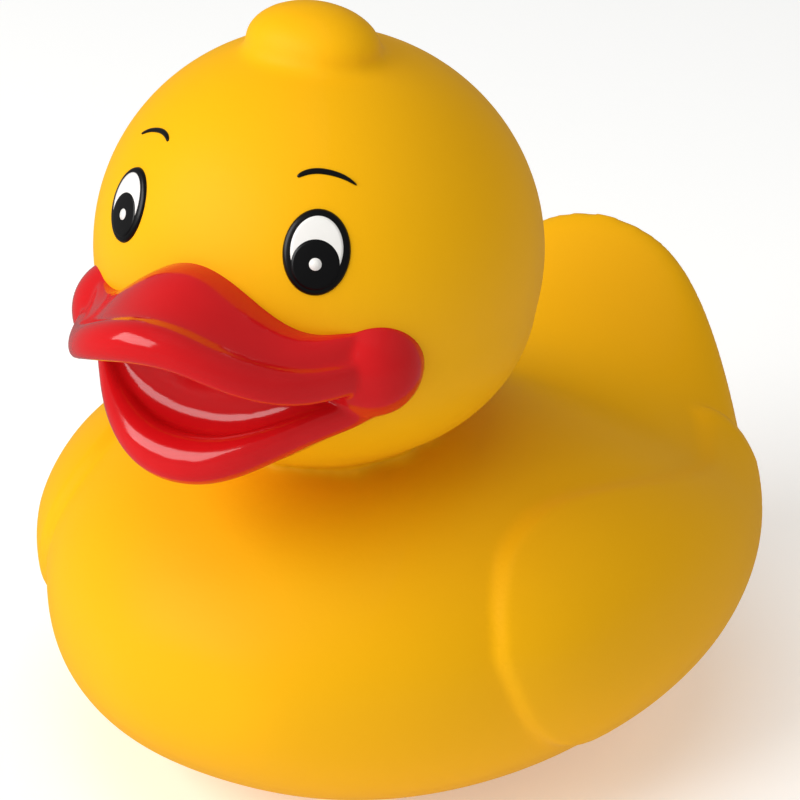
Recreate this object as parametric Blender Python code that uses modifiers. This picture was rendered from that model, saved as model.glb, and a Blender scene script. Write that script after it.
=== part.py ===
"""Rubber duck: one hollow vinyl moulding, modelled as the closed solid inside its outer skin.

The bill points along -Y, the duck's left side is +X and up is +Z. The origin is the middle of the
flat underside. Lengths below are millimetres and are turned to metres where the meshes are made.
"""
import math

import bmesh
import bpy
from mathutils import Matrix, Vector

MM = 0.001

# Body: one loft from chest to tail. Each station is (y, half width, lowest z, widest z, highest z,
# fullness of the top), where a fullness of 2 is an ellipse and less is a narrower arch.
BODY_STATIONS = (
    (-47.0, 7.0, 18.0, 22.5, 26.5, 2.0),
    (-44.0, 15.0, 12.3, 22.5, 32.0, 2.0),
    (-36.5, 25.8, 5.8, 22.5, 38.7, 2.05),
    (-26.0, 33.2, 1.5, 22.5, 43.2, 2.1),
    (-13.0, 38.0, -1.3, 22.5, 46.2, 2.1),
    (0.0, 39.4, -2.0, 22.5, 46.0, 2.05),
    (12.0, 38.2, -1.4, 22.5, 41.0, 2.0),
    (22.0, 35.0, 0.4, 22.5, 34.8, 2.0),
    (31.0, 30.7, 3.6, 23.0, 33.0, 1.9),
    (38.0, 26.3, 7.6, 24.0, 35.2, 1.9),
    (44.0, 21.3, 14.2, 28.0, 39.5, 1.9),
    (48.0, 16.6, 22.0, 33.0, 43.0, 2.0),
    (50.6, 12.0, 29.0, 37.2, 44.7, 2.0),
    (51.8, 7.4, 34.5, 40.0, 44.0, 2.0),
)
BELLY_FULLNESS = 2.25
BELLY_LEAN = 1.3
RING_POINTS = 24

HEAD_CENTRE = Vector((0.0, -17.7, 66.0))
HEAD_RADII = Vector((25.2, 24.6, 24.5))
JOWL_OFFSET = Vector((0.0, -0.5, -4.0))
JOWL_RADII = Vector((25.0, 23.0, 19.5))
CREST_OFFSET = Vector((0.0, -0.8, 24.2))
CREST_RADII = Vector((8.0, 5.8, 4.6))

# Wings, on the +X side: a long pad and the raised tip behind it
WING_CENTRE = Vector((27.8, -2.0, 23.5))
WING_RADII = Vector((13.4, 28.5, 15.2))
WING_PITCH = math.radians(-2.0)
WING_TIP_CENTRE = Vector((26.6, 21.5, 25.6))
WING_TIP_RADII = Vector((5.2, 11.5, 4.8))
WING_TIP_PITCH = math.radians(20.0)

# Upper bill, measured forward and up from the middle of the head. Each station is x, the foot on the
# head, the centre of the rolled lip and the lip's radius.
UPPER_BILL_STATIONS = (
    (0.0, (24.2, 7.6), (35.6, 2.7), 2.6),
    (4.5, (23.9, 6.3), (35.0, 2.2), 2.6),
    (8.5, (23.5, 3.0), (33.3, 0.8), 2.55),
    (12.0, (22.0, 0.7), (30.0, -1.4), 2.4),
    (14.8, (20.2, 0.8), (26.0, -3.3), 2.2),
    (17.0, (18.0, 0.8), (21.6, -4.2), 2.0),
    (18.5, (15.5, -0.5), (17.5, -4.4), 1.8),
)
LIP_ANGLES = (128, 96, 60, 22, -18, -58, -98)

# Lower bill, the same way: x, chin on the head, centre of the lip, back of the mouth, lip radius
LOWER_BILL_STATIONS = (
    (0.0, (18.0, -18.5), (28.6, -14.2), (25.4, -4.0), 2.9),
    (4.5, (18.0, -18.0), (28.0, -14.0), (25.0, -4.0), 2.9),
    (8.5, (17.8, -16.6), (26.2, -12.9), (23.8, -4.0), 2.8),
    (11.8, (17.0, -14.4), (23.6, -11.2), (21.8, -4.0), 2.6),
    (14.2, (16.0, -12.4), (20.8, -9.4), (19.4, -4.0), 2.4),
    (16.4, (14.6, -10.8), (18.0, -7.8), (16.8, -4.5), 2.3),
    (18.4, (12.8, -9.0), (15.6, -6.6), (14.5, -4.5), 2.2),
)
SCOOP_ANGLES = (-112, -76, -40, -4, 32, 68, 104)

# Round corners of the smile: (side, bearing, dip) seen from the middle of the head
CHEEKS = ((1.0, 45.5, 10.5), (-1.0, 44.5, 13.0))
CHEEK_REACH = 22.6
CHEEK_RADIUS = 5.9

SKIN_VOXEL = 1.1
SKIN_SMOOTHING_STEPS = 6
SKIN_TRIANGLES_KEPT = 0.12
BASE_CUTTER_SIZE = Vector((120.0, 140.0, 20.0))

VINYL_YELLOW = (0.90, 0.58, 0.02, 1.0)
VINYL_ROUGHNESS = 0.42


def clear_scene():
    for thing in list(bpy.data.objects):
        bpy.data.objects.remove(thing, do_unlink=True)


def new_collection(name):
    collection = bpy.data.collections.new(name)
    bpy.context.scene.collection.children.link(collection)
    return collection


def vinyl_material():
    """Soft yellow vinyl with a satin skin."""
    material = bpy.data.materials.new("yellow_vinyl")
    material.use_nodes = True
    shader = material.node_tree.nodes["Principled BSDF"]
    shader.inputs["Base Color"].default_value = VINYL_YELLOW
    shader.inputs["Roughness"].default_value = VINYL_ROUGHNESS
    shader.inputs["Metallic"].default_value = 0.0
    return material


def add_ellipsoid(shape, centre, radii, pitch=0.0, segments=40, rings=24):
    """A closed ellipsoid, tipped about the X axis through its own middle."""
    placed = (
        Matrix.Translation(centre * MM)
        @ Matrix.Rotation(pitch, 4, "X")
        @ Matrix.Diagonal((radii * MM).to_4d())
    )
    bmesh.ops.create_uvsphere(shape, u_segments=segments, v_segments=rings, radius=1.0, matrix=placed)


def station_ring(shape, station, capped):
    """One cross-section of the body, bent from a circle."""
    y, half_width, lowest, widest, highest, fullness = station
    ring = bmesh.ops.create_circle(shape, cap_ends=capped, segments=RING_POINTS, radius=1.0)["verts"]
    for vertex in ring:
        across, upward = vertex.co.x, vertex.co.y
        bend = fullness if upward > 0.0 else BELLY_FULLNESS
        reach = highest - widest if upward > 0.0 else widest - lowest
        x = math.copysign(abs(across) ** (2.0 / bend), across) * half_width
        z = widest + math.copysign(abs(upward) ** (2.0 / bend), upward) * reach
        x -= BELLY_LEAN * max(0.0, 1.0 - z / widest)
        vertex.co = Vector((x, y, z)) * MM
    members = set(ring)
    return [edge for edge in shape.edges if members.issuperset(edge.verts)]


def skin_over(shape, rings):
    """Skins a row of rings whose two end rings are capped."""
    for before, after in zip(rings, rings[1:]):
        bmesh.ops.bridge_loops(shape, edges=before + after)
    bmesh.ops.recalc_face_normals(shape, faces=shape.faces)


def body_cage():
    """Chest, belly, back and tail as one loft."""
    shape = bmesh.new()
    last = len(BODY_STATIONS) - 1
    rings = [
        station_ring(shape, station, capped=index in (0, last))
        for index, station in enumerate(BODY_STATIONS)
    ]
    skin_over(shape, rings)
    return shape


def between(a, b, share):
    return (a[0] + (b[0] - a[0]) * share, a[1] + (b[1] - a[1]) * share)


def round_lip(centre, radius, angles):
    return [
        (centre[0] + radius * math.cos(math.radians(a)), centre[1] + radius * math.sin(math.radians(a)))
        for a in angles
    ]


def upper_bill_profile(foot, lip, radius):
    """Side outline of the upper bill: buried back, foot, saddle, rolled lip, underside."""
    roll = round_lip(lip, radius, LIP_ANGLES)
    back_low = (foot[0] - 5.0, lip[1] - radius)
    back_high = (foot[0] - 5.0, foot[1] - 1.0)
    saddle = [between(foot, roll[0], share) for share in (0.3, 0.65)]
    under = [between(roll[-1], back_low, share) for share in (0.3, 0.65)]
    return [back_high, foot] + saddle + roll + under + [back_low]


def lower_bill_profile(chin, lip, back, radius):
    """Side outline of the scoop: buried chin, round lip, shallow dish, buried back of the mouth."""
    roll = round_lip(lip, radius, SCOOP_ANGLES)
    corner = (roll[-1][0] - 1.0, roll[-1][1] - 0.5)
    dish = [between(corner, back, share) for share in (0.12, 0.35, 0.65)]
    buried_back = (back[0] - 6.0, back[1])
    buried_chin = (chin[0] - 5.0, chin[1] + 4.0)
    return [buried_chin, chin, between(chin, roll[0], 0.45)] + roll + [corner] + dish + [back, buried_back]


def profile_ring(shape, x, profile, capped):
    ring = bmesh.ops.create_circle(shape, cap_ends=capped, segments=len(profile), radius=1.0)["verts"]
    for vertex, (forward, up) in zip(ring, profile):
        vertex.co = (HEAD_CENTRE + Vector((x, -forward, up))) * MM
    members = set(ring)
    return [edge for edge in shape.edges if members.issuperset(edge.verts)]


def bill_cage(stations, profile_of):
    """A loft from the right corner of the smile, over the middle, to the left corner."""
    shape = bmesh.new()
    row = [(-station[0],) + station[1:] for station in reversed(stations[1:])] + list(stations)
    ends = (0, len(row) - 1)
    rings = [
        profile_ring(shape, station[0], profile_of(*station[1:]), capped=index in ends)
        for index, station in enumerate(row)
    ]
    skin_over(shape, rings)
    return shape


def add_head(shape):
    add_ellipsoid(shape, HEAD_CENTRE, HEAD_RADII)
    add_ellipsoid(shape, HEAD_CENTRE + JOWL_OFFSET, JOWL_RADII)
    add_ellipsoid(shape, HEAD_CENTRE + CREST_OFFSET, CREST_RADII)


def add_wings(shape):
    for side in (1.0, -1.0):
        mirrored = Vector((side, 1.0, 1.0))
        add_ellipsoid(shape, WING_CENTRE * mirrored, WING_RADII, WING_PITCH)
        add_ellipsoid(shape, WING_TIP_CENTRE * mirrored, WING_TIP_RADII, WING_TIP_PITCH)


def add_bill(shape, collection):
    """Upper bill, lower scoop and the two round corners of the smile."""
    shape.from_mesh(rounded_cage(bill_cage(UPPER_BILL_STATIONS, upper_bill_profile), collection))
    shape.from_mesh(rounded_cage(bill_cage(LOWER_BILL_STATIONS, lower_bill_profile), collection))
    for side, bearing, dip in CHEEKS:
        turn = math.radians(bearing)
        fall = math.radians(dip)
        sideways = side * math.sin(turn) * math.cos(fall)
        outward = Vector((sideways, -math.cos(turn) * math.cos(fall), -math.sin(fall)))
        add_ellipsoid(shape, HEAD_CENTRE + outward * CHEEK_REACH, Vector((1.0, 1.0, 1.0)) * CHEEK_RADIUS)


def object_from(shape, name, collection):
    mesh = bpy.data.meshes.new(name)
    shape.to_mesh(mesh)
    shape.free()
    thing = bpy.data.objects.new(name, mesh)
    collection.objects.link(thing)
    return thing


def cutter_object(shape, name, collection):
    cutter = object_from(shape, name, collection)
    cutter.hide_render = True
    cutter.display_type = "WIRE"
    return cutter


def rounded_cage(shape, collection):
    """A coarse cage after subdivision, as a mesh that the other volumes can join."""
    cage = object_from(shape, "cage", collection)
    subdivision = cage.modifiers.new("Subdivision", "SUBSURF")
    subdivision.levels = 2
    subdivision.render_levels = 2
    graph = bpy.context.evaluated_depsgraph_get()
    mesh = bpy.data.meshes.new_from_object(cage.evaluated_get(graph))
    bpy.data.objects.remove(cage, do_unlink=True)
    return mesh


def cut_with(thing, cutter, name):
    cut = thing.modifiers.new(name, "BOOLEAN")
    cut.operation = "DIFFERENCE"
    cut.solver = "EXACT"
    cut.object = cutter


def fuse_skin(thing, name):
    """One even skin round everything that the object holds."""
    fuse = thing.modifiers.new(name, "REMESH")
    fuse.mode = "VOXEL"
    fuse.voxel_size = SKIN_VOXEL * MM
    fuse.use_smooth_shade = True


def make_duck(collection, cutters):
    """All volumes fused into one skin, with the underside cut flat."""
    shape = bmesh.new()
    shape.from_mesh(rounded_cage(body_cage(), collection))
    add_head(shape)
    add_wings(shape)
    add_bill(shape, collection)
    duck = object_from(shape, "duck_moulding", collection)
    duck.data.materials.append(vinyl_material())

    fuse_skin(duck, "Fuse volumes")

    soften = duck.modifiers.new("Soften", "SMOOTH")
    soften.factor = 0.5
    soften.iterations = SKIN_SMOOTHING_STEPS

    thin = duck.modifiers.new("Thin", "DECIMATE")
    thin.ratio = SKIN_TRIANGLES_KEPT
    thin.use_collapse_triangulate = True

    floor = bmesh.new()
    below = Vector((0.0, 0.0, -BASE_CUTTER_SIZE.z / 2.0))
    placed = Matrix.Translation(below * MM) @ Matrix.Diagonal((BASE_CUTTER_SIZE * MM).to_4d())
    bmesh.ops.create_cube(floor, size=1.0, matrix=placed)
    cut_with(duck, cutter_object(floor, "base_cutter", cutters), "Flat underside")
    return duck


def main():
    clear_scene()
    parts = new_collection("rubber_duck")
    cutters = new_collection("cutters")
    make_duck(parts, cutters)


main()
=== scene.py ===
# %% [markdown]
# # A rubber duck
# The real duck is one hollow skin of yellow vinyl, turned in a hot mould until it is about 2 mm thick.
# The bill, the eyes and the brows are gloss paint, sprayed over masks and pressed on with pads.
# Each lesson below makes one of those things, with soft volumes fused together as a sculptor adds clay.
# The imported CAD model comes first, because everything else has to keep to its frame and size.

import math

import bmesh
import bpy
import numpy as np
from mathutils import Matrix, Vector
from mathutils.bvhtree import BVHTree


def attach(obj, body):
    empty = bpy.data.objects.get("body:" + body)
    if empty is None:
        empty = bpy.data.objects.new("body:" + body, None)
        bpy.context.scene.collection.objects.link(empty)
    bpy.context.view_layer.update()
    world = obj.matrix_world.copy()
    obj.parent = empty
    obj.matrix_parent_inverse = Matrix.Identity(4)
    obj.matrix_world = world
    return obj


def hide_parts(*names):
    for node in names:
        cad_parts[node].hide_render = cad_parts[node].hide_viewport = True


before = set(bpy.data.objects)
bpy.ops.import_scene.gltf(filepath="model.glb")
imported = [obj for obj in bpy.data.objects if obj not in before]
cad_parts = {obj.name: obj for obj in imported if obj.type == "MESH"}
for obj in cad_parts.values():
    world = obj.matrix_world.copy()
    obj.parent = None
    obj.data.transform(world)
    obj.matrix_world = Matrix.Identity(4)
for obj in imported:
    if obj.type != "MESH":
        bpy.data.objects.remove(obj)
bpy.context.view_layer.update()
MM = 0.001

# %% [markdown]
# ## Small tools
# A bmesh is a mesh that is being worked on. Every solid here starts as one, becomes an object, and then
# has its modifiers applied, so that the next step can go on working on the result.

# %% Make objects and apply modifiers
def mm(x, y, z):
    """A point given in millimetres, in metres."""
    return Vector((x, y, z)) * MM


def object_from(shape, name):
    mesh = bpy.data.meshes.new(name)
    shape.to_mesh(mesh)
    shape.free()
    thing = bpy.data.objects.new(name, mesh)
    bpy.context.scene.collection.objects.link(thing)
    return thing


def apply_modifiers(thing):
    graph = bpy.context.evaluated_depsgraph_get()
    finished = bpy.data.meshes.new_from_object(thing.evaluated_get(graph))
    thing.modifiers.clear()
    thing.data = finished
    return thing


def fuse(thing, voxel_mm, smoothing_steps):
    """Replaces overlapping solids with the one even skin that encloses them all."""
    remesh = thing.modifiers.new("Fuse", "REMESH")
    remesh.mode = "VOXEL"
    remesh.voxel_size = voxel_mm * MM
    remesh.use_smooth_shade = True
    smooth = thing.modifiers.new("Soften", "SMOOTH")
    smooth.factor = 0.5
    smooth.iterations = smoothing_steps
    return apply_modifiers(thing)


def subdivided(shape, name, levels):
    """A coarse cage rounded by Subdivision Surface, as a mesh."""
    cage = object_from(shape, name)
    rounding = cage.modifiers.new("Round", "SUBSURF")
    rounding.levels = levels
    rounding.render_levels = levels
    mesh = apply_modifiers(cage).data
    bpy.data.objects.remove(cage)
    return mesh


def add_ellipsoid(shape, centre, radii, pitch=0.0, segments=64, rings=40):
    """A closed ellipsoid, sizes in mm, tipped about the X axis through its own middle."""
    placed = (
        Matrix.Translation(Vector(centre) * MM)
        @ Matrix.Rotation(pitch, 4, "X")
        @ Matrix.Diagonal((Vector(radii) * MM).to_4d())
    )
    bmesh.ops.create_uvsphere(shape, u_segments=segments, v_segments=rings, radius=1.0, matrix=placed)


# %% [markdown]
# ## The body
# The body is boat-shaped: a round chest, a low back that dips behind the neck, and a broad tail that
# sweeps up like a ski jump. A sphere can't do that, so it is a loft: oval cross-sections stand one behind
# the other from chest to tail, and bridge_loops skins them. A rounded cage like this keeps the long,
# quiet highlights of moulded vinyl.

# %% Loft the body
# y, half width, lowest z, widest z, highest z, fullness of the top (2 is an oval, less is a pointed arch)
BODY_STATIONS = (
    (-47.0, 7.0, 18.0, 22.5, 26.5, 2.0),
    (-44.0, 15.0, 12.3, 22.5, 32.0, 2.0),
    (-36.5, 25.8, 5.8, 22.5, 38.7, 2.05),
    (-26.0, 33.2, 1.5, 22.5, 43.2, 2.1),
    (-13.0, 38.0, -1.3, 22.5, 46.2, 2.1),
    (0.0, 39.4, -2.4, 22.5, 46.0, 2.05),
    (12.0, 38.2, -2.6, 22.5, 41.0, 2.0),
    (22.0, 35.0, -1.4, 22.5, 34.8, 2.0),
    (31.0, 30.7, 1.8, 23.0, 33.0, 1.9),
    (38.0, 26.3, 6.4, 24.0, 35.2, 1.9),
    (44.0, 21.3, 14.2, 28.0, 39.5, 1.9),
    (48.0, 16.6, 22.0, 33.0, 43.0, 2.0),
    (50.6, 12.0, 29.0, 37.2, 44.7, 2.0),
    (51.8, 7.4, 34.5, 40.0, 44.0, 2.0),
)
BELLY_FULLNESS = 2.25
# The soft body settles a little towards the duck's right: how far the belly line has moved, in mm
BELLY_LEAN = 1.3
RING_POINTS = 24


def station_ring(shape, station, capped):
    """One cross-section of the body, bent from a circle."""
    y, half_width, lowest, widest, highest, fullness = station
    ring = bmesh.ops.create_circle(shape, cap_ends=capped, segments=RING_POINTS, radius=1.0)["verts"]
    for vertex in ring:
        across, upward = vertex.co.x, vertex.co.y
        bend = fullness if upward > 0.0 else BELLY_FULLNESS
        reach = highest - widest if upward > 0.0 else widest - lowest
        x = math.copysign(abs(across) ** (2.0 / bend), across) * half_width
        z = widest + math.copysign(abs(upward) ** (2.0 / bend), upward) * reach
        vertex.co = mm(x - BELLY_LEAN * max(0.0, 1.0 - z / widest), y, z)
    members = set(ring)
    return [edge for edge in shape.edges if members.issuperset(edge.verts)]


def loft(shape, rings):
    """Skins a row of rings whose two end rings are already capped."""
    for before, after in zip(rings, rings[1:]):
        bmesh.ops.bridge_loops(shape, edges=before + after)
    bmesh.ops.recalc_face_normals(shape, faces=shape.faces)


body_cage = bmesh.new()
ends = (0, len(BODY_STATIONS) - 1)
rings = [station_ring(body_cage, s, capped=i in ends) for i, s in enumerate(BODY_STATIONS)]
loft(body_cage, rings)
body_mesh = subdivided(body_cage, "body_cage", levels=3)
print("body loft:", len(body_mesh.polygons), "faces")

# %% [markdown]
# ## The head and its crest
# The head is very nearly a ball, a little fuller at the jowls. The crest is a soft button on top of it.
# Ellipsoids pushed into each other are enough, because fusing them rounds the joints.

# %% Add the head and the crest
HEAD = Vector((0.0, -17.7, 66.0))
HEAD_RADII = (25.2, 24.6, 24.5)
JOWL_DROP = Vector((0.0, -0.5, -4.0))
JOWL_RADII = (25.0, 23.0, 19.5)
CREST_RISE = Vector((0.0, -0.8, 24.2))
CREST_RADII = (8.0, 5.8, 4.6)

skin_shape = bmesh.new()
skin_shape.from_mesh(body_mesh)
add_ellipsoid(skin_shape, HEAD, HEAD_RADII)
add_ellipsoid(skin_shape, HEAD + JOWL_DROP, JOWL_RADII)
add_ellipsoid(skin_shape, HEAD + CREST_RISE, CREST_RADII)
print("volumes to fuse: body, head, jowls and crest,", len(skin_shape.faces), "faces")

# %% [markdown]
# ## One skin out of four volumes
# Overlapping solids show hard creases where they cross. A moulded skin can't have those, because the mould
# is filed smooth there. A Boolean union would keep the creases, so a voxel remesh is used: it wraps one
# even net round everything. A few rounds of smoothing then soften the neck and the foot of the crest.

# %% Fuse the volumes into one skin
SKIN_VOXEL = 0.65
SKIN_SMOOTHING = 8
skin = fuse(object_from(skin_shape, "vinyl_skin"), SKIN_VOXEL, SKIN_SMOOTHING)
print("fused skin:", len(skin.data.polygons), "faces")

# %% [markdown]
# ## The folded wings
# Each wing is a soft pad that stands about 2.5 mm proud of the side, inside an outline like a leaf. It
# could be a solid of its own, but its rounded foot would be hard to fit to the body. It is easier to push
# it out of the skin, as a sculptor's brush does: every vertex inside the outline moves outwards, by more
# in the middle than near the edge, with an S-shaped slope where the wing begins.

# %% Raise the wings
# (y, z) of the leaf's outline, seen from the side
WING_OUTLINE = (
    (-28.9, 26.4),
    (-28.1, 29.8),
    (-26.2, 33.0),
    (-22.6, 36.2),
    (-17.6, 38.1),
    (-12.0, 38.7),
    (-5.2, 37.8),
    (1.0, 36.2),
    (8.0, 34.0),
    (15.0, 31.6),
    (21.6, 29.6),
    (27.0, 29.0),
    (31.0, 29.2),
    (34.0, 30.0),
    (35.6, 27.6),
    (34.6, 22.5),
    (27.0, 18.5),
    (18.0, 14.8),
    (8.0, 12.6),
    (-2.0, 11.6),
    (-9.0, 11.2),
    (-14.5, 11.2),
    (-19.2, 12.8),
    (-23.8, 16.2),
    (-27.2, 20.8),
)
WING_RISE = 2.5
WING_PILLOW = 11.0
WING_EDGE = 1.4
# Share of the rise that the wing already has at its edge, and how far from the middle plane, in mm, the
# wing begins and is whole: nearer the middle the same outline crosses the back, which has no wing
WING_EDGE_SHARE = 0.35
WING_INNER_FADE = (20.0, 24.0)
OUTLINE_STEPS = 6


def closed_curve(points, steps):
    """A smooth closed curve through the points, as short straight pieces (Catmull-Rom)."""
    corners = np.array(points)
    a, b, c, d = (np.roll(corners, -k, axis=0) for k in (-1, 0, 1, 2))
    pieces = []
    for step in range(steps):
        t = step / steps
        pieces.append(
            0.5 * (2 * b + (c - a) * t + (2 * a - 5 * b + 4 * c - d) * t**2 + (3 * b - a - 3 * c + d) * t**3)
        )
    return np.stack(pieces, axis=1).reshape(-1, 2)


def depth_inside(points, curve):
    """How far each point lies inside the closed curve; negative outside it."""
    nearest = np.full(len(points), 1e9)
    inside = np.zeros(len(points), bool)
    for a, b in zip(curve, np.roll(curve, -1, axis=0)):
        along = b - a
        t = np.clip(((points - a) @ along) / (along @ along), 0.0, 1.0)
        nearest = np.minimum(nearest, np.linalg.norm(a + t[:, None] * along - points, axis=1))
        crosses = (a[1] > points[:, 1]) != (b[1] > points[:, 1])
        level = (points[:, 1] - a[1]) / (along[1] if along[1] else 1.0)
        inside ^= crosses & (points[:, 0] < a[0] + along[0] * level)
    return np.where(inside, nearest, -nearest)


def read_vertices(mesh, what):
    values = np.empty(len(mesh.vertices) * 3)
    mesh.vertices.foreach_get(what, values)
    return values.reshape(-1, 3)


def smooth_slope(low, high, values):
    """0 below low, 1 above high, and an S-shaped slope between them."""
    t = np.clip((values - low) / (high - low), 0.0, 1.0)
    return t * t * (3.0 - 2.0 * t)


places = read_vertices(skin.data, "co")
normals = read_vertices(skin.data, "normal")
depth = depth_inside(places[:, 1:] / MM, closed_curve(WING_OUTLINE, OUTLINE_STEPS))
crown = 1.0 - (1.0 - np.clip(depth / WING_PILLOW, 0.0, 1.0)) ** 2
rise = WING_RISE * (WING_EDGE_SHARE + (1.0 - WING_EDGE_SHARE) * crown)
rise *= smooth_slope(-0.5 * WING_EDGE, 0.5 * WING_EDGE, depth)
rise *= smooth_slope(*WING_INNER_FADE, abs(places[:, 0]) / MM)
places += normals * rise[:, None] * MM
print("wing vertices raised:", int((rise > 0).sum()))

# %% [markdown]
# ## A flat underside
# The duck stands on a flat that the mould gives it. The loft runs a little below the table, and cutting it
# off would leave a sharp rim. Lifting every vertex that is too low gives the same flat and keeps one net.

# %% Press the underside flat
print("vertices pressed to the table:", int((places[:, 2] < 0.0).sum()))
places[:, 2] = places[:, 2].clip(min=0.0)
skin.data.vertices.foreach_set("co", places.ravel())
skin.data.update()
skin.data.shade_smooth()

# %% [markdown]
# ## The bill
# The bill is moulded with the head: a broad upper bill that ends in a rolled lip, a lower scoop with a
# round lip, and a ball at each corner of the smile. Stretched spheres would give it no lip. Seen from the
# side it is one outline that changes steadily from corner to corner, so it is lofted across the face. A
# station says where the bill leaves the head, where the lip's centre is and how thick the lip is.

# %% Loft the upper bill
# x, then forward and up from the head's middle: foot on the head, centre of the lip; lip radius. The
# table runs from the duck's right to its left, because the two corners of the smile differ a little.
UPPER_STATIONS = (
    (-18.5, (15.5, -1.6), (17.5, -5.0), 1.7),
    (-17.0, (18.0, -0.3), (21.6, -4.9), 1.85),
    (-14.8, (20.2, -0.2), (26.0, -4.2), 1.9),
    (-12.0, (22.0, -0.1), (30.0, -2.5), 2.0),
    (-8.5, (23.5, 3.0), (33.3, -0.2), 2.15),
    (-4.5, (23.9, 6.3), (35.0, 1.5), 2.45),
    (0.0, (24.2, 7.4), (35.6, 2.7), 2.6),
    (4.5, (23.9, 5.5), (35.0, 2.3), 2.35),
    (8.5, (23.5, 2.4), (33.3, 0.1), 2.15),
    (12.0, (22.0, 0.5), (30.0, -2.1), 2.1),
    (14.8, (20.2, 0.9), (26.0, -3.4), 2.0),
    (17.0, (18.0, 0.8), (21.6, -3.5), 1.9),
    (18.5, (15.5, -0.3), (17.5, -3.8), 1.8),
)
SHOULDER_BULGE = 0.8
LIP_ANGLES = (128, 96, 60, 22, -18, -58, -98)


def bill_point(x, forward, up):
    return mm(HEAD.x + x, HEAD.y - forward, HEAD.z + up)


def mix(a, b, t):
    return (a[0] + (b[0] - a[0]) * t, a[1] + (b[1] - a[1]) * t)


def round_lip(centre, radius, angles):
    return [
        (centre[0] + radius * math.cos(math.radians(a)), centre[1] + radius * math.sin(math.radians(a)))
        for a in angles
    ]


def upper_profile(foot, lip, radius):
    """Side outline of the upper bill: buried back, foot, full shoulder, rolled lip, underside."""
    roll = round_lip(lip, radius, LIP_ANGLES)
    saddle = [mix(foot, roll[0], t) for t in (0.3, 0.65)]
    saddle = [(forward, up + SHOULDER_BULGE * share) for (forward, up), share in zip(saddle, (1.0, 0.25))]
    back_low = (foot[0] - 5.0, lip[1] - radius)
    under = [mix(roll[-1], back_low, t) for t in (0.3, 0.65)]
    back_high = (foot[0] - 5.0, foot[1] - 1.0)
    return [back_high, foot] + saddle + roll + under + [back_low]


def profile_ring(shape, x, profile, capped):
    ring = bmesh.ops.create_circle(shape, cap_ends=capped, segments=len(profile), radius=1.0)["verts"]
    for vertex, (forward, up) in zip(ring, profile):
        vertex.co = bill_point(x, forward, up)
    members = set(ring)
    return [edge for edge in shape.edges if members.issuperset(edge.verts)]


def loft_across(stations, profile_of):
    """A loft from the right corner of the bill, over the middle, to the left corner."""
    shape = bmesh.new()
    ends = (0, len(stations) - 1)
    rings = [profile_ring(shape, s[0], profile_of(*s[1:]), capped=i in ends) for i, s in enumerate(stations)]
    loft(shape, rings)
    return shape


upper_mesh = subdivided(loft_across(UPPER_STATIONS, upper_profile), "upper_bill", levels=3)
print("upper bill:", len(upper_mesh.polygons), "faces")

# %% [markdown]
# ## The lower scoop
# The lower bill is a scoop with a round lip. Behind the lip its rim slopes in, and then the mouth is
# hollowed out, so that the paint in it catches the light in a crescent. It is the same kind of loft as the
# upper bill, with one more number for the hollow, which fades out towards the corners.

# %% Loft the lower scoop
# x, then forward and up from the head's middle: chin on the head, centre of the lip, back of the mouth;
# lip radius; depth of the dish that stands for the tongue
LOWER_STATIONS = (
    (-18.4, (12.8, -9.0), (15.6, -6.6), (14.5, -4.5), 2.2, 0.0),
    (-16.4, (14.6, -10.8), (18.0, -7.9), (16.8, -4.5), 2.25, 0.0),
    (-14.2, (16.0, -12.4), (20.8, -9.4), (19.4, -4.0), 2.35, 0.0),
    (-11.8, (17.0, -14.4), (23.6, -11.2), (21.8, -4.0), 2.5, 0.1),
    (-8.5, (17.8, -16.6), (26.2, -12.9), (23.6, -4.0), 2.7, 0.4),
    (-4.5, (18.0, -18.0), (28.0, -14.0), (24.6, -4.0), 2.85, 0.9),
    (0.0, (18.0, -18.5), (28.6, -14.2), (24.9, -4.0), 2.9, 1.0),
    (4.5, (18.0, -17.8), (28.0, -13.6), (24.6, -4.0), 2.75, 0.9),
    (8.5, (17.8, -15.9), (26.2, -12.0), (23.6, -4.0), 2.4, 0.4),
    (11.8, (17.0, -13.6), (23.6, -10.3), (21.8, -4.0), 2.0, 0.1),
    (14.2, (16.0, -12.2), (20.8, -9.3), (19.4, -4.0), 1.9, 0.0),
    (16.4, (14.6, -11.0), (18.0, -8.6), (16.8, -4.5), 1.95, 0.0),
    (18.4, (12.8, -9.2), (15.6, -6.8), (14.5, -4.5), 2.1, 0.0),
)


def lower_profile(chin, lip, back, radius, dish):
    """Side outline of the scoop: buried chin, round lip, sloping rim, hollowed mouth, buried back."""
    roll = round_lip(lip, radius, (-112, -76, -40, -4, 32, 62))
    rim = (roll[-1][0] - 0.6 * radius, roll[-1][1] + 0.2 * radius)
    sole = (rim[0] - 0.6 * radius, rim[1] - 1.1 * dish)
    climb = back[1] - sole[1]
    wall = [
        (back[0] + 0.3 + 0.8 * (1.0 - dish), sole[1] + 0.06 * climb),
        (back[0] + 0.3 - dish, sole[1] + 0.21 * climb),
        (back[0] - dish, sole[1] + 0.41 * climb),
        (back[0] - 0.7 * dish, sole[1] + 0.69 * climb),
    ]
    buried_back = (back[0] - 6.0, back[1])
    buried_chin = (chin[0] - 5.0, chin[1] + 4.0)
    return [buried_chin, chin, mix(chin, roll[0], 0.45)] + roll + [rim, sole] + wall + [back, buried_back]


lower_mesh = subdivided(loft_across(LOWER_STATIONS, lower_profile), "lower_bill", levels=3)
print("lower bill:", len(lower_mesh.polygons), "faces")

# %% [markdown]
# ## The corners of the smile
# A ball sits at each end of the smile, and both bills run into it. The three solids are fused as the body
# was, with a finer net, because the lips are only 4 to 6 mm thick. Then the seams round each ball are
# melted: a vertex group marks them, and a Smooth modifier works only there, so the lips stay crisp.

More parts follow.
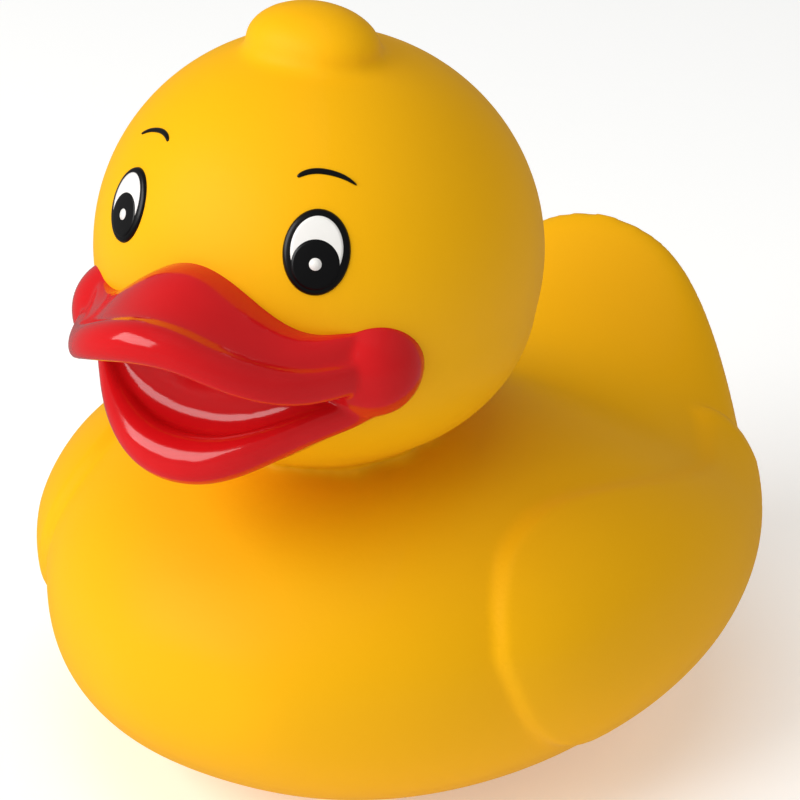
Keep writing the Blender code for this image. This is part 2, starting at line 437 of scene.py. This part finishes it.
# %% Fuse the bill with the balls of the smile
# Bearing and dip of each ball seen from the middle of the head; the two sides of the smile differ
CHEEKS = {1.0: (45.5, 10.5), -1.0: (44.5, 13.0)}
CHEEK_REACH = 22.6
CHEEK_RADIUS = 5.9
BILL_VOXEL = 0.32
BILL_SMOOTHING = 6

bill_shape = bmesh.new()
bill_shape.from_mesh(upper_mesh)
bill_shape.from_mesh(lower_mesh)
for side, aimed in CHEEKS.items():
    bearing, dip = (math.radians(angle) for angle in aimed)
    ball = HEAD + CHEEK_REACH * Vector(
        (side * math.sin(bearing) * math.cos(dip), -math.cos(bearing) * math.cos(dip), -math.sin(dip))
    )
    add_ellipsoid(bill_shape, ball, [CHEEK_RADIUS] * 3)
bill = fuse(object_from(bill_shape, "bill"), BILL_VOXEL, BILL_SMOOTHING)
print("fused bill:", len(bill.data.polygons), "faces")

# %% Melt the balls into the lips
# Where they meet, from the middle of the head, and how far the smoothing reaches there: full strength in
# the core of that reach, then fading out
JOINTS = (((13.2, -20.2, -3.8), 4.8), ((16.6, -17.0, -8.0), 3.6))
JOINT_CORE = 0.35
JOINT_SMOOTHING = 50

from_head = read_vertices(bill.data, "co") / MM - np.array(HEAD)
from_head[:, 0] = abs(from_head[:, 0])
nearness = np.zeros(len(from_head))
for joint, reach in JOINTS:
    distance = np.linalg.norm(from_head - np.array(joint), axis=1)
    nearness = np.maximum(nearness, 1.0 - smooth_slope(JOINT_CORE * reach, reach, distance))
joint_group = bill.vertex_groups.new(name="joint")
for index in np.flatnonzero(nearness > 0.01):
    joint_group.add([int(index)], float(nearness[index]), "REPLACE")
melt = bill.modifiers.new("Melt", "SMOOTH")
melt.factor = 0.5
melt.iterations = JOINT_SMOOTHING
melt.vertex_group = "joint"
apply_modifiers(bill)
bill.data.shade_smooth()
print("vertices melted:", int((nearness > 0.01).sum()))

# %% [markdown]
# ## Eyes and brows
# Soft pads press the eyes on: black, white, black and a dot of white. They could be a picture on the skin,
# but paint has an edge that catches light, so each colour is a thin blister. A flat outline is drawn on a
# plane in front of the face and its inside is divided into rings. Every vertex is then dropped onto the
# head along the plane's own direction, as a pad comes down on it, and lifted by the paint's height.

# %% Tools for paint that follows the head
head_tree = BVHTree.FromObject(skin, bpy.context.evaluated_depsgraph_get())
FAR = 100.0 * MM
print("head to paint on:", len(skin.data.vertices), "vertices")


def face_plane(side, bearing_deg, height_deg, lean_deg):
    """Right, up and outward directions of a plane in front of the face; lean turns its top outwards."""
    bearing, height = math.radians(bearing_deg), math.radians(height_deg)
    outward = Vector(
        (side * math.sin(bearing) * math.cos(height), -math.cos(bearing) * math.cos(height), math.sin(height))
    )
    right = Vector((0.0, 0.0, 1.0)).cross(outward).normalized()
    up = outward.cross(right)
    turn = Matrix.Rotation(math.radians(-lean_deg) * side, 3, outward)
    return turn @ right, turn @ up, outward


def press_on_head(shape, plane):
    """Moves a flat solid, drawn in mm, onto the head. Its own height becomes height above the skin."""
    right, up, outward = plane
    for vertex in shape.verts:
        start = HEAD * MM + (right * vertex.co.x + up * vertex.co.y) * MM + outward * FAR
        spot = head_tree.ray_cast(start, -outward)[0]
        vertex.co = spot + (spot - HEAD * MM).normalized() * vertex.co.z * MM
    bmesh.ops.recalc_face_normals(shape, faces=shape.faces)


# %% Press on a blister of paint
# In mm: how deep its wall is rooted in the skin, and the width of the rings across its top
PAINT_ROOT = -0.4
RING_WIDTH = 0.3
OVAL_SEGMENTS = 72
# The rounded edge: how far in each step goes and how far it stays below the top, as shares of the edge
EDGE_STEPS = ((0.35, 0.45), (0.45, 0.1), (0.6, 0.0))


def paint_oval(name, plane, centre, radii, lift, edge=0.0):
    """An oval blister of paint: a short wall, an edge rounded by two steps, and rings across the top."""
    shape = bmesh.new()
    bmesh.ops.create_circle(shape, cap_ends=True, segments=OVAL_SEGMENTS, radius=1.0)
    place = Matrix.Translation((centre[0], centre[1], PAINT_ROOT))
    stretch = Matrix.Diagonal((radii[0], radii[1], 1.0, 1.0))
    bmesh.ops.transform(shape, matrix=place @ stretch, verts=shape.verts)
    lid = bmesh.ops.extrude_face_region(shape, geom=shape.faces[:])
    lid_verts = [v for v in lid["geom"] if isinstance(v, bmesh.types.BMVert)]
    lid_face = [f for f in lid["geom"] if isinstance(f, bmesh.types.BMFace)]
    for vertex in lid_verts:
        vertex.co.z = lift - edge
    for inward, below_top in EDGE_STEPS if edge > 0.0 else ():
        bmesh.ops.inset_region(shape, faces=lid_face, thickness=inward * edge)
        for vertex in lid_face[0].verts:
            vertex.co.z = lift - below_top * edge
    for _ in range(int(min(radii) / RING_WIDTH) - 2):
        bmesh.ops.inset_region(shape, faces=lid_face, thickness=RING_WIDTH)
    bmesh.ops.poke(shape, faces=lid_face)
    press_on_head(shape, plane)
    paint = object_from(shape, name)
    paint.data.shade_smooth()
    return paint


# %% Make the eyes
# The pads come down by hand, so the two eyes differ. Side; bearing, height and lean of the plane; size
EYES = {
    "left": (1.0, (31.3, 22.3, 6.0), 1.0),
    "right": (-1.0, (32.5, 22.6, 15.0), 0.91),
}
eye_pieces = {"black": [], "white": []}
for tag, (side, aimed, size) in EYES.items():
    plane = face_plane(side, *aimed)
    # Piece, colour, how far above the middle, half width and half height in mm, lift, edge rounding
    for part, colour, up, half_width, half_height, lift, edge in (
        ("eye_rim", "black", 0.0, 3.6, 4.6, 0.34, 0.34),
        ("eye_white", "white", 0.25, 2.75, 3.55, 0.355, 0.0),
        ("pupil", "black", -1.3, 2.55, 2.65, 0.37, 0.0),
        ("glint", "white", -1.25, 0.66, 0.66, 0.39, 0.0),
    ):
        radii = (half_width * size, half_height * size)
        piece = paint_oval(f"{tag}_{part}", plane, (-0.12 * size, up * size), radii, lift, edge)
        eye_pieces[colour].append(piece)
print("eye pieces:", [piece.name for pieces in eye_pieces.values() for piece in pieces])

# %% [markdown]
# ## The brows
# A brow is one stroke of a fine brush: thin where it starts, full in the middle and pointed at its end. An
# oval can't taper like that, so it is a loft of small lens-shaped rings along an arc, pressed on the head
# in the same way as the eyes.

# %% Make the brows
# (across, up, half thickness) in mm along each brow, from the bill's side outwards
BROW_POINTS = (
    (-2.05, 0.05, 0.20),
    (-1.4, 0.48, 0.32),
    (-0.3, 0.74, 0.36),
    (1.0, 0.66, 0.35),
    (2.6, 0.22, 0.31),
    (3.6, -0.32, 0.22),
    (4.3, -0.85, 0.08),
)
BROWS = {"left": (1.0, (31.0, 41.0, 0.0), 1.0), "right": (-1.0, (35.2, 41.2, 6.0), 0.92)}
BROW_LIFT = 0.22
BROW_SEGMENTS = 12


def paint_brow(name, side, plane, size):
    """A tapered stroke: lens-shaped cross-sections skinned along an arc."""
    shape = bmesh.new()
    rings = []
    last = len(BROW_POINTS) - 1
    for i, (across, up, half) in enumerate(BROW_POINTS):
        capped = i in (0, last)
        ring = bmesh.ops.create_circle(shape, cap_ends=capped, segments=BROW_SEGMENTS, radius=1.0)["verts"]
        before, after = BROW_POINTS[max(i - 1, 0)], BROW_POINTS[min(i + 1, last)]
        slope = math.atan2(after[1] - before[1], after[0] - before[0])
        for vertex in ring:
            thick, tall = vertex.co.x * half, vertex.co.y * BROW_LIFT
            stroke_across = side * size * (across - thick * math.sin(slope))
            vertex.co = Vector((stroke_across, size * (up + thick * math.cos(slope)), tall))
        members = set(ring)
        rings.append([edge for edge in shape.edges if members.issuperset(edge.verts)])
    loft(shape, rings)
    stroke = object_from(shape, name)
    rounding = stroke.modifiers.new("Round", "SUBSURF")
    rounding.levels = 3
    rounding.render_levels = 3
    apply_modifiers(stroke)
    shape = bmesh.new()
    shape.from_mesh(stroke.data)
    press_on_head(shape, plane)
    shape.to_mesh(stroke.data)
    shape.free()
    stroke.data.shade_smooth()
    return stroke


for tag, (side, aimed, size) in BROWS.items():
    brow = paint_brow(f"{tag}_brow", side, face_plane(side, *aimed), size)
    eye_pieces["black"].append(brow)
    print(brow.name, "has", len(brow.data.polygons), "faces")

# %% [markdown]
# ## Finishes
# Colours are written as the hex values that a paint maker would give, and turned to the linear numbers
# that Blender calculates with. Every finish is built from the same few nodes: a noise that varies the
# colour slowly, and a finer one that roughens the surface. The pieces are in metres and their Object
# coordinates are too, so a noise scale says how many marks there are in a metre: 500 gives marks of 2 mm.

# %% Colour and node helpers
def hex_colour(text):
    """An sRGB hex colour as linear RGBA."""
    values = [int(text[i : i + 2], 16) / 255.0 for i in (1, 3, 5)]
    linear = [v / 12.92 if v <= 0.04045 else ((v + 0.055) / 1.055) ** 2.4 for v in values]
    return (*linear, 1.0)


def add_node(tree, kind, settings=None, inputs=None):
    """Adds a node, sets its properties, and sets or links its inputs."""
    node = tree.nodes.new(kind)
    for name, value in (settings or {}).items():
        setattr(node, name, value)
    for name, value in (inputs or {}).items():
        if isinstance(value, bpy.types.NodeSocket):
            tree.links.new(value, node.inputs[name])
        else:
            node.inputs[name].default_value = value
    return node


def new_material(name):
    material = bpy.data.materials.new(name)
    material.use_nodes = True
    tree = material.node_tree
    return material, tree, tree.nodes["Principled BSDF"]


def noise_marks(tree, place, per_metre, detail):
    """Noise with so many marks in a metre of the real object."""
    return add_node(
        tree, "ShaderNodeTexNoise", inputs={"Vector": place, "Scale": per_metre, "Detail": detail}
    )


def vary_colour(tree, shader, marks, first, second):
    """Lets the base colour wander between two close tones."""
    tone = add_node(tree, "ShaderNodeMix", {"data_type": "RGBA"}, {0: marks.outputs["Fac"]})
    tone.inputs[6].default_value = hex_colour(first)
    tone.inputs[7].default_value = hex_colour(second)
    tree.links.new(tone.outputs[2], shader.inputs["Base Color"])


def roughen(tree, shader, marks, strength, depth):
    """Bump from a noise: depth in metres."""
    inputs = {"Height": marks.outputs["Fac"], "Strength": strength, "Distance": depth}
    bump = add_node(tree, "ShaderNodeBump", inputs=inputs)
    tree.links.new(bump.outputs["Normal"], shader.inputs["Normal"])


print("vinyl yellow in linear numbers:", [round(v, 3) for v in hex_colour("#EFAE0B")[:3]])

# %% [markdown]
# ## Soft vinyl
# Plasticised vinyl from a sand-blasted mould is satin: it has a broad, weak sheen and no mirror image. It
# is coloured through, and clouds of slightly warmer and cooler yellow, about 22 mm across, keep the big
# round surfaces from looking like plain plastic. A grain of 0.6 mm, hardly deep enough to feel, breaks up
# the sheen as the mould's skin does. A picture of vinyl would stretch over the head, and noise doesn't.

# %% Rotationally moulded soft vinyl
# Marks in a metre: clouds of about 22 mm and a grain of 0.6 mm; then the grain's depth in metres
VINYL_CLOUDS = 45.0
VINYL_GRAIN = 1800.0
VINYL_GRAIN_DEPTH = 0.0002


def soft_vinyl():
    """Satin skin of a rotational moulding, with faint clouds of colour under a fine grain."""
    material, tree, shader = new_material("soft_vinyl_moulded")
    place = add_node(tree, "ShaderNodeTexCoord").outputs["Object"]
    vary_colour(tree, shader, noise_marks(tree, place, VINYL_CLOUDS, 2.0), "#EFAE0B", "#F2B20D")
    roughen(tree, shader, noise_marks(tree, place, VINYL_GRAIN, 2.0), 0.05, VINYL_GRAIN_DEPTH)
    shader.inputs["Roughness"].default_value = 0.48
    shader.inputs["IOR"].default_value = 1.53
    shader.inputs["Specular IOR Level"].default_value = 0.08
    return material


vinyl = soft_vinyl()
print("vinyl: clouds", round(1000 / VINYL_CLOUDS), "mm, grain", round(1000 / VINYL_GRAIN, 1), "mm")

# %% [markdown]
# ## Gloss paint
# Vinyl paint dries to a wet-looking film. Its base is a deep colour that is a little darker where the film
# lies thick, in patches about 6 mm across. Orange peel, the 2 mm ripple that sprayed paint keeps, bends the
# highlights so that they look liquid. The red is sprayed over a mask, and the black and the white are
# printed with pads, which leaves them less shiny.

# %% Sprayed and printed gloss paint
# Marks in a metre: film patches of about 6 mm and orange peel of 2 mm; then the peel's depth in metres
PAINT_PATCHES = 160.0
PAINT_PEEL = 500.0
PAINT_PEEL_DEPTH = 0.0003


def gloss_paint(name, thin_colour, thick_colour, roughness, specular):
    """A wet-looking film, darker where it lies thick, with a faint orange peel."""
    material, tree, shader = new_material(name)
    place = add_node(tree, "ShaderNodeTexCoord").outputs["Object"]
    vary_colour(tree, shader, noise_marks(tree, place, PAINT_PATCHES, 2.0), thin_colour, thick_colour)
    roughen(tree, shader, noise_marks(tree, place, PAINT_PEEL, 1.0), 0.06, PAINT_PEEL_DEPTH)
    shader.inputs["Roughness"].default_value = roughness
    shader.inputs["IOR"].default_value = 1.5
    shader.inputs["Specular IOR Level"].default_value = specular
    return material


red_paint = gloss_paint("red_gloss_paint_sprayed", "#D0171B", "#C40F15", 0.12, 0.42)
eye_paint = {
    "black": gloss_paint("black_gloss_paint_pad_printed", "#050506", "#020203", 0.3, 0.3),
    "white": gloss_paint("white_gloss_paint_pad_printed", "#E8E5DF", "#F0EEEA", 0.3, 0.4),
}
print("paints:", red_paint.name, [paint.name for paint in eye_paint.values()])

# %% Give each piece its finish
skin.data.materials.clear()
skin.data.materials.append(vinyl)
bill.data.materials.clear()
bill.data.materials.append(red_paint)
for colour, pieces in eye_pieces.items():
    for piece in pieces:
        piece.data.materials.append(eye_paint[colour])
print("finished pieces:", 2 + sum(len(pieces) for pieces in eye_pieces.values()))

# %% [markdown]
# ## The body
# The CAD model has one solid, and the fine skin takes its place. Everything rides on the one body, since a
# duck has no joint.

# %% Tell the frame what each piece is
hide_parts("duck_moulding")
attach(skin, "root")
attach(bill, "root")
for colour, pieces in eye_pieces.items():
    for piece in pieces:
        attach(piece, "root")
print("the skin stands in for duck_moulding")

# %% [markdown]
# ## The camera
# The duck is looked at from its front left and from a little above, at half a metre, where a long lens
# shows the round shapes without stretching the bill. The lens follows from how large the duck should be.

# %% Camera
CAMERA_BEARING = math.radians(30.5)
CAMERA_HEIGHT = math.radians(25.8)
CAMERA_DISTANCE = 0.520
PIXELS_PER_MM = 8.59
FRAME_PIXELS = 800
SENSOR_MM = 36.0
AIM = mm(0.0, 0.0, 39.7)

outward = Vector(
    (
        math.sin(CAMERA_BEARING) * math.cos(CAMERA_HEIGHT),
        -math.cos(CAMERA_BEARING) * math.cos(CAMERA_HEIGHT),
        math.sin(CAMERA_HEIGHT),
    )
)
camera_data = bpy.data.cameras.new("camera")
camera_data.sensor_width = SENSOR_MM
camera_data.lens = SENSOR_MM * CAMERA_DISTANCE / MM * PIXELS_PER_MM / FRAME_PIXELS
camera = bpy.data.objects.new("camera", camera_data)
camera.location = AIM + outward * CAMERA_DISTANCE
camera.rotation_euler = outward.to_track_quat("Z", "Y").to_euler()
bpy.context.scene.collection.objects.link(camera)
bpy.context.scene.camera = camera
print("lens:", round(camera_data.lens, 1), "mm")

# %% [markdown]
# ## Floor and lights
# Toys like this are pictured on white paper with big soft lamps. The paper glows a little, so that it goes
# white without burning out the duck. A large key lamp stands on the side that the duck looks to, and it is
# the only lamp that the gloss paint mirrors, which leaves a few clean highlights. A lamp overhead and one
# from behind the left shoulder open the shadows. The paper isn't mirrored either, or the red would turn pink.

# %% Floor and lights
floor_shape = bmesh.new()
bmesh.ops.create_grid(floor_shape, x_segments=1, y_segments=1, size=3.0)
floor = object_from(floor_shape, "floor")
floor_material, _, floor_shader = new_material("pale_paper_sweep")
floor_shader.inputs["Base Color"].default_value = hex_colour("#F4F4F2")
floor_shader.inputs["Roughness"].default_value = 0.8
floor_shader.inputs["Specular IOR Level"].default_value = 0.1
floor_shader.inputs["Emission Color"].default_value = (1.0, 1.0, 1.0, 1.0)
floor_shader.inputs["Emission Strength"].default_value = 0.28
floor.data.materials.append(floor_material)
floor.visible_glossy = False


def softbox(name, bearing_deg, height_deg, distance, width, tall, watts, mirrored):
    """A softbox that faces the duck, screened off from reflections unless mirrored is true."""
    lamp_data = bpy.data.lights.new(name, "AREA")
    lamp_data.shape = "RECTANGLE"
    lamp_data.size = width
    lamp_data.size_y = tall
    lamp_data.energy = watts
    lamp = bpy.data.objects.new(name, lamp_data)
    lamp.visible_glossy = mirrored
    bearing, height = math.radians(bearing_deg), math.radians(height_deg)
    away = Vector(
        (math.sin(bearing) * math.cos(height), -math.cos(bearing) * math.cos(height), math.sin(height))
    )
    lamp.location = AIM + away * distance
    lamp.rotation_euler = away.to_track_quat("Z", "Y").to_euler()
    bpy.context.scene.collection.objects.link(lamp)


softbox("key_softbox", -34.0, 30.0, 0.7, 0.7, 0.42, 4.6, True)
softbox("top_softbox", 20.0, 80.0, 0.8, 0.6, 0.6, 2.0, False)
softbox("fill_softbox", 100.0, 38.0, 1.1, 0.8, 0.8, 1.2, False)
world = bpy.data.worlds.new("studio")
world.use_nodes = True
backdrop = world.node_tree.nodes["Background"]
backdrop.inputs["Color"].default_value = (1.0, 1.0, 1.0, 1.0)
backdrop.inputs["Strength"].default_value = 0.24
bpy.context.scene.world = world
bpy.context.scene.view_settings.view_transform = "Standard"
